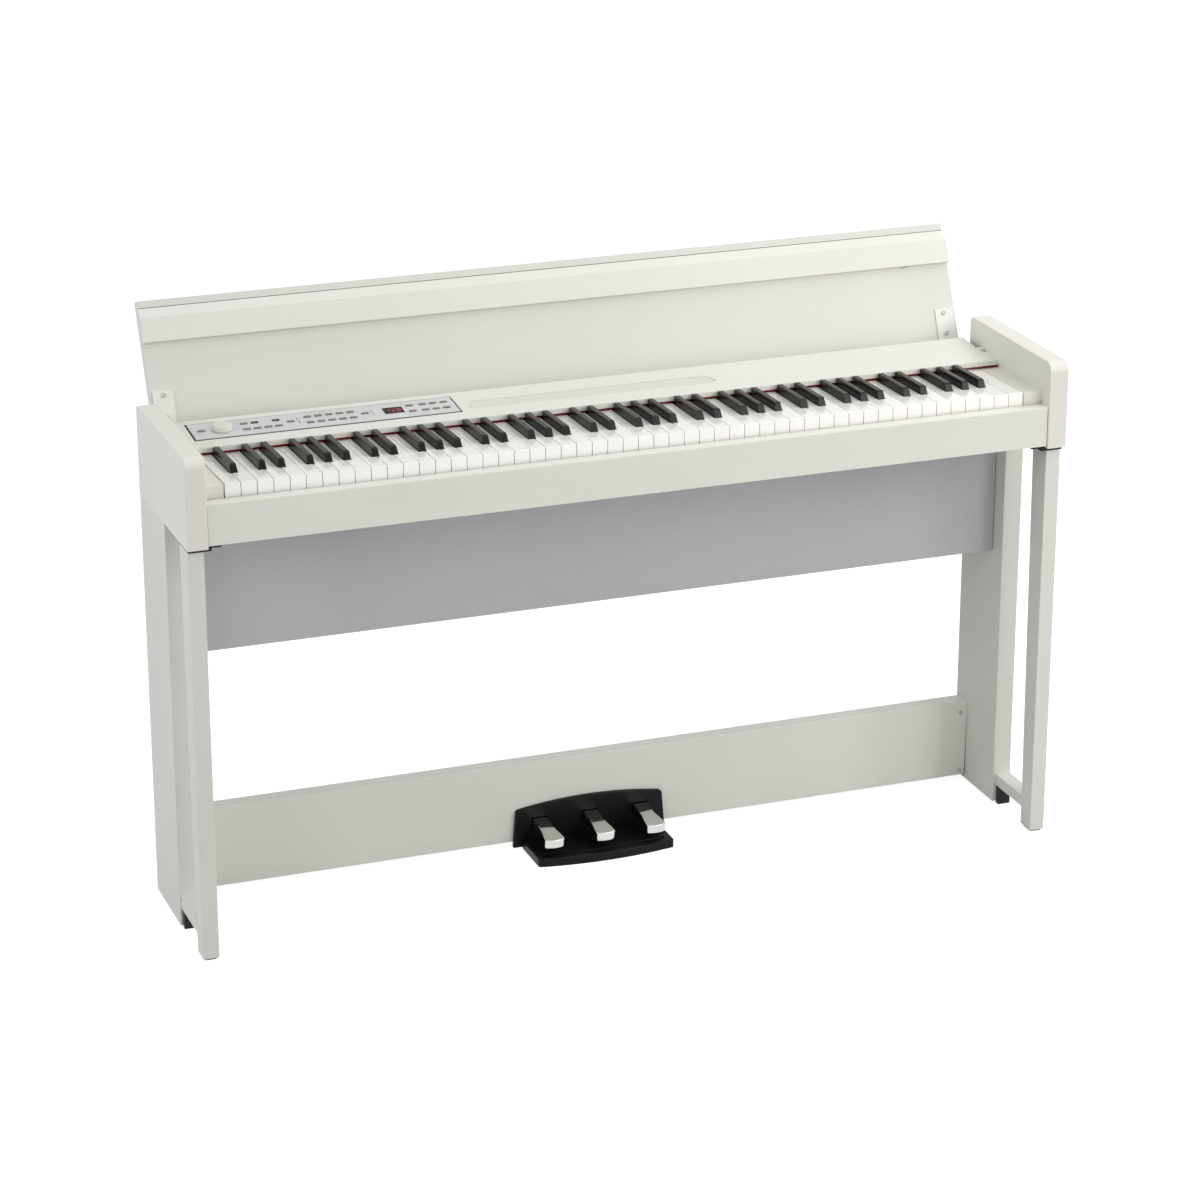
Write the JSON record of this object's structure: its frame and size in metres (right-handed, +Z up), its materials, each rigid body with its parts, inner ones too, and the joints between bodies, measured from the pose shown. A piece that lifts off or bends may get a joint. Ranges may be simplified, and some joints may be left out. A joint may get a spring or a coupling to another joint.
{
  "type": "digital piano on stand",
  "caption": "White digital piano with a full keyboard, hinged lid held open, sloped control panel and board stand with a pedal unit.",
  "frame": {"origin": "on the floor, below the middle of the bounding box with the lid open", "axes": "+X to the player's right along the keyboard, +Y away from the player, +Z up"},
  "size_m": [1.346, 0.397, 0.8795],
  "materials": {
    "white_laminate": "white satin laminate on board",
    "grey_laminate": "light grey satin laminate on board",
    "black_plastic": "fine matt moulding",
    "silver_plate": "silver satin sheet",
    "circuit_board": "green board",
    "display_lens": "dark clear lens",
    "red_felt": "pressed wool felt",
    "dark_felt": "felt strip on a rail",
    "cream_plastic": "satin moulding",
    "grey_plastic": "plain moulding",
    "button_plastic": "satin moulding",
    "plain_steel": "ground rod",
    "bracket_metal": "grey coated sheet steel",
    "bracket_white": "white coated sheet steel",
    "screw_metal": "zinc plated",
    "black_metal": "black coated steel",
    "black_rubber": "moulded rubber",
    "black_satin": "satin black moulding",
    "pedal_chrome": "polished chrome",
    "key_white": "polished white key plastic",
    "key_black": "matt black key plastic"
  },
  "bodies": {
    "case_and_stand": {"left_arm": "white_laminate", "right_arm": "white_laminate", "front_rail": "white_laminate", "keybed": "white_laminate", "rear_panel": "white_laminate", "key_end_blocks": "white_laminate", "top_panel": "white_laminate", "side_boards": "white_laminate", "front_posts": "white_laminate", "cross_beam": "white_laminate", "knee_panel": "grey_laminate", "control_bezel": "black_plastic", "control_plate": "silver_plate", "control_board": "circuit_board", "display_window": "display_lens", "felt_strip": "red_felt", "key_pivot_rail": "grey_plastic", "key_rod": "plain_steel", "key_stop_rail": "dark_felt", "key_contact_board": "circuit_board", "speakers": "black_metal", "socket_panel": "black_plastic", "case_screws": "screw_metal", "hinge_pins": "plain_steel", "leg_pads": "black_plastic", "glides": "black_rubber", "foot_blocks": "black_plastic", "stand_brackets": "bracket_metal", "pedal_back_plate": "black_satin", "pedal_base": "black_satin", "pedal_chassis": "black_metal", "pedal_rod": "plain_steel"},
    "lid": {"lid_board": "white_laminate", "lid_lip": "white_laminate", "lid_brackets": "bracket_white", "lid_screws": "screw_metal"},
    "volume_knob": {"volume_knob": "cream_plastic"},
    "pedal_left": {"pedal_left": "pedal_chrome"},
    "pedal_middle": {"pedal_middle": "pedal_chrome"},
    "pedal_right": {"pedal_right": "pedal_chrome"},
    "power_button": {"power_button": "button_plastic"},
    "effect_buttons": {"effect_buttons": "button_plastic"},
    "function_buttons": {"function_buttons": "button_plastic"},
    "select_buttons": {"select_buttons": "button_plastic"},
    "sound_buttons_upper": {"sound_buttons_upper": "button_plastic"},
    "sound_buttons_lower": {"sound_buttons_lower": "button_plastic"},
    "value_buttons": {"value_buttons": "button_plastic"},
    "recorder_buttons": {"recorder_buttons": "button_plastic"},
    "keys_c": {"keys_c": "key_white"},
    "keys_d": {"keys_d": "key_white"},
    "keys_e": {"keys_e": "key_white"},
    "keys_f": {"keys_f": "key_white"},
    "keys_g": {"keys_g": "key_white"},
    "keys_a": {"keys_a": "key_white"},
    "keys_b": {"keys_b": "key_white"},
    "keys_c_sharp": {"keys_c_sharp": "key_black"},
    "keys_d_sharp": {"keys_d_sharp": "key_black"},
    "keys_f_sharp": {"keys_f_sharp": "key_black"},
    "keys_g_sharp": {"keys_g_sharp": "key_black"},
    "keys_a_sharp": {"keys_a_sharp": "key_black"}
  },
  "joints": [
    {"name": "lid_hinge", "type": "hinge", "parent": "case_and_stand", "child": "lid", "pos_m": [0, 0.04757, 0.69383], "axis": [1, 0, 0], "range_deg": [0, 114.4]},
    {"name": "volume_turn", "type": "hinge", "parent": "case_and_stand", "child": "volume_knob", "pos_m": [-0.5595, 0.02874, 0.72403], "axis": [0, -0.0872, 0.9962], "range_deg": [-150, 150]},
    {"name": "pedal_left_press", "type": "hinge", "parent": "case_and_stand", "child": "pedal_left", "pos_m": [0, 0.05145, 0.043], "axis": [1, 0, 0], "range_deg": [0, 6.5], "stiffness_Nm_per_rad": 6, "springref_deg": -8.02},
    {"name": "pedal_middle_press", "type": "hinge", "parent": "case_and_stand", "child": "pedal_middle", "pos_m": [0, 0.05145, 0.043], "axis": [1, 0, 0], "range_deg": [0, 6.5], "stiffness_Nm_per_rad": 6, "springref_deg": -8.02},
    {"name": "pedal_right_press", "type": "hinge", "parent": "case_and_stand", "child": "pedal_right", "pos_m": [0, 0.05145, 0.043], "axis": [1, 0, 0], "range_deg": [0, 6.5], "stiffness_Nm_per_rad": 6, "springref_deg": -8.02},
    {"name": "power_button_press", "type": "slide", "parent": "case_and_stand", "child": "power_button", "axis": [0, 0.0872, -0.9962], "range_m": [0, 0.0008], "stiffness_N_per_m": 800, "springref_m": -0.0006},
    {"name": "effect_buttons_press", "type": "slide", "parent": "case_and_stand", "child": "effect_buttons", "axis": [0, 0.0872, -0.9962], "range_m": [0, 0.0008], "stiffness_N_per_m": 800, "springref_m": -0.0006},
    {"name": "function_buttons_press", "type": "slide", "parent": "case_and_stand", "child": "function_buttons", "axis": [0, 0.0872, -0.9962], "range_m": [0, 0.0008], "stiffness_N_per_m": 800, "springref_m": -0.0006},
    {"name": "select_buttons_press", "type": "slide", "parent": "case_and_stand", "child": "select_buttons", "axis": [0, 0.0872, -0.9962], "range_m": [0, 0.0008], "stiffness_N_per_m": 800, "springref_m": -0.0006},
    {"name": "sound_buttons_upper_press", "type": "slide", "parent": "case_and_stand", "child": "sound_buttons_upper", "axis": [0, 0.0872, -0.9962], "range_m": [0, 0.0008], "stiffness_N_per_m": 800, "springref_m": -0.0006},
    {"name": "sound_buttons_lower_press", "type": "slide", "parent": "case_and_stand", "child": "sound_buttons_lower", "axis": [0, 0.0872, -0.9962], "range_m": [0, 0.0008], "stiffness_N_per_m": 800, "springref_m": -0.0006},
    {"name": "value_buttons_press", "type": "slide", "parent": "case_and_stand", "child": "value_buttons", "axis": [0, 0.0872, -0.9962], "range_m": [0, 0.0008], "stiffness_N_per_m": 800, "springref_m": -0.0006},
    {"name": "recorder_buttons_press", "type": "slide", "parent": "case_and_stand", "child": "recorder_buttons", "axis": [0, 0.0872, -0.9962], "range_m": [0, 0.0008], "stiffness_N_per_m": 800, "springref_m": -0.0006},
    {"name": "keys_c_press", "type": "hinge", "parent": "case_and_stand", "child": "keys_c", "pos_m": [0, 0.05137, 0.69605], "axis": [1, 0, 0], "range_deg": [0, 2.5], "stiffness_Nm_per_rad": 4, "springref_deg": -20.05},
    {"name": "keys_d_press", "type": "hinge", "parent": "case_and_stand", "child": "keys_d", "pos_m": [0, 0.05137, 0.69605], "axis": [1, 0, 0], "range_deg": [0, 2.5], "stiffness_Nm_per_rad": 4, "springref_deg": -20.05},
    {"name": "keys_e_press", "type": "hinge", "parent": "case_and_stand", "child": "keys_e", "pos_m": [0, 0.05137, 0.69605], "axis": [1, 0, 0], "range_deg": [0, 2.5], "stiffness_Nm_per_rad": 4, "springref_deg": -20.05},
    {"name": "keys_f_press", "type": "hinge", "parent": "case_and_stand", "child": "keys_f", "pos_m": [0, 0.05137, 0.69605], "axis": [1, 0, 0], "range_deg": [0, 2.5], "stiffness_Nm_per_rad": 4, "springref_deg": -20.05},
    {"name": "keys_g_press", "type": "hinge", "parent": "case_and_stand", "child": "keys_g", "pos_m": [0, 0.05137, 0.69605], "axis": [1, 0, 0], "range_deg": [0, 2.5], "stiffness_Nm_per_rad": 4, "springref_deg": -20.05},
    {"name": "keys_a_press", "type": "hinge", "parent": "case_and_stand", "child": "keys_a", "pos_m": [0, 0.05137, 0.69605], "axis": [1, 0, 0], "range_deg": [0, 2.5], "stiffness_Nm_per_rad": 4, "springref_deg": -20.05},
    {"name": "keys_b_press", "type": "hinge", "parent": "case_and_stand", "child": "keys_b", "pos_m": [0, 0.05137, 0.69605], "axis": [1, 0, 0], "range_deg": [0, 2.5], "stiffness_Nm_per_rad": 4, "springref_deg": -20.05},
    {"name": "keys_c_sharp_press", "type": "hinge", "parent": "case_and_stand", "child": "keys_c_sharp", "pos_m": [0, 0.05137, 0.69605], "axis": [1, 0, 0], "range_deg": [0, 2.5], "stiffness_Nm_per_rad": 4, "springref_deg": -20.05},
    {"name": "keys_d_sharp_press", "type": "hinge", "parent": "case_and_stand", "child": "keys_d_sharp", "pos_m": [0, 0.05137, 0.69605], "axis": [1, 0, 0], "range_deg": [0, 2.5], "stiffness_Nm_per_rad": 4, "springref_deg": -20.05},
    {"name": "keys_f_sharp_press", "type": "hinge", "parent": "case_and_stand", "child": "keys_f_sharp", "pos_m": [0, 0.05137, 0.69605], "axis": [1, 0, 0], "range_deg": [0, 2.5], "stiffness_Nm_per_rad": 4, "springref_deg": -20.05},
    {"name": "keys_g_sharp_press", "type": "hinge", "parent": "case_and_stand", "child": "keys_g_sharp", "pos_m": [0, 0.05137, 0.69605], "axis": [1, 0, 0], "range_deg": [0, 2.5], "stiffness_Nm_per_rad": 4, "springref_deg": -20.05},
    {"name": "keys_a_sharp_press", "type": "hinge", "parent": "case_and_stand", "child": "keys_a_sharp", "pos_m": [0, 0.05137, 0.69605], "axis": [1, 0, 0], "range_deg": [0, 2.5], "stiffness_Nm_per_rad": 4, "springref_deg": -20.05}
  ]
}
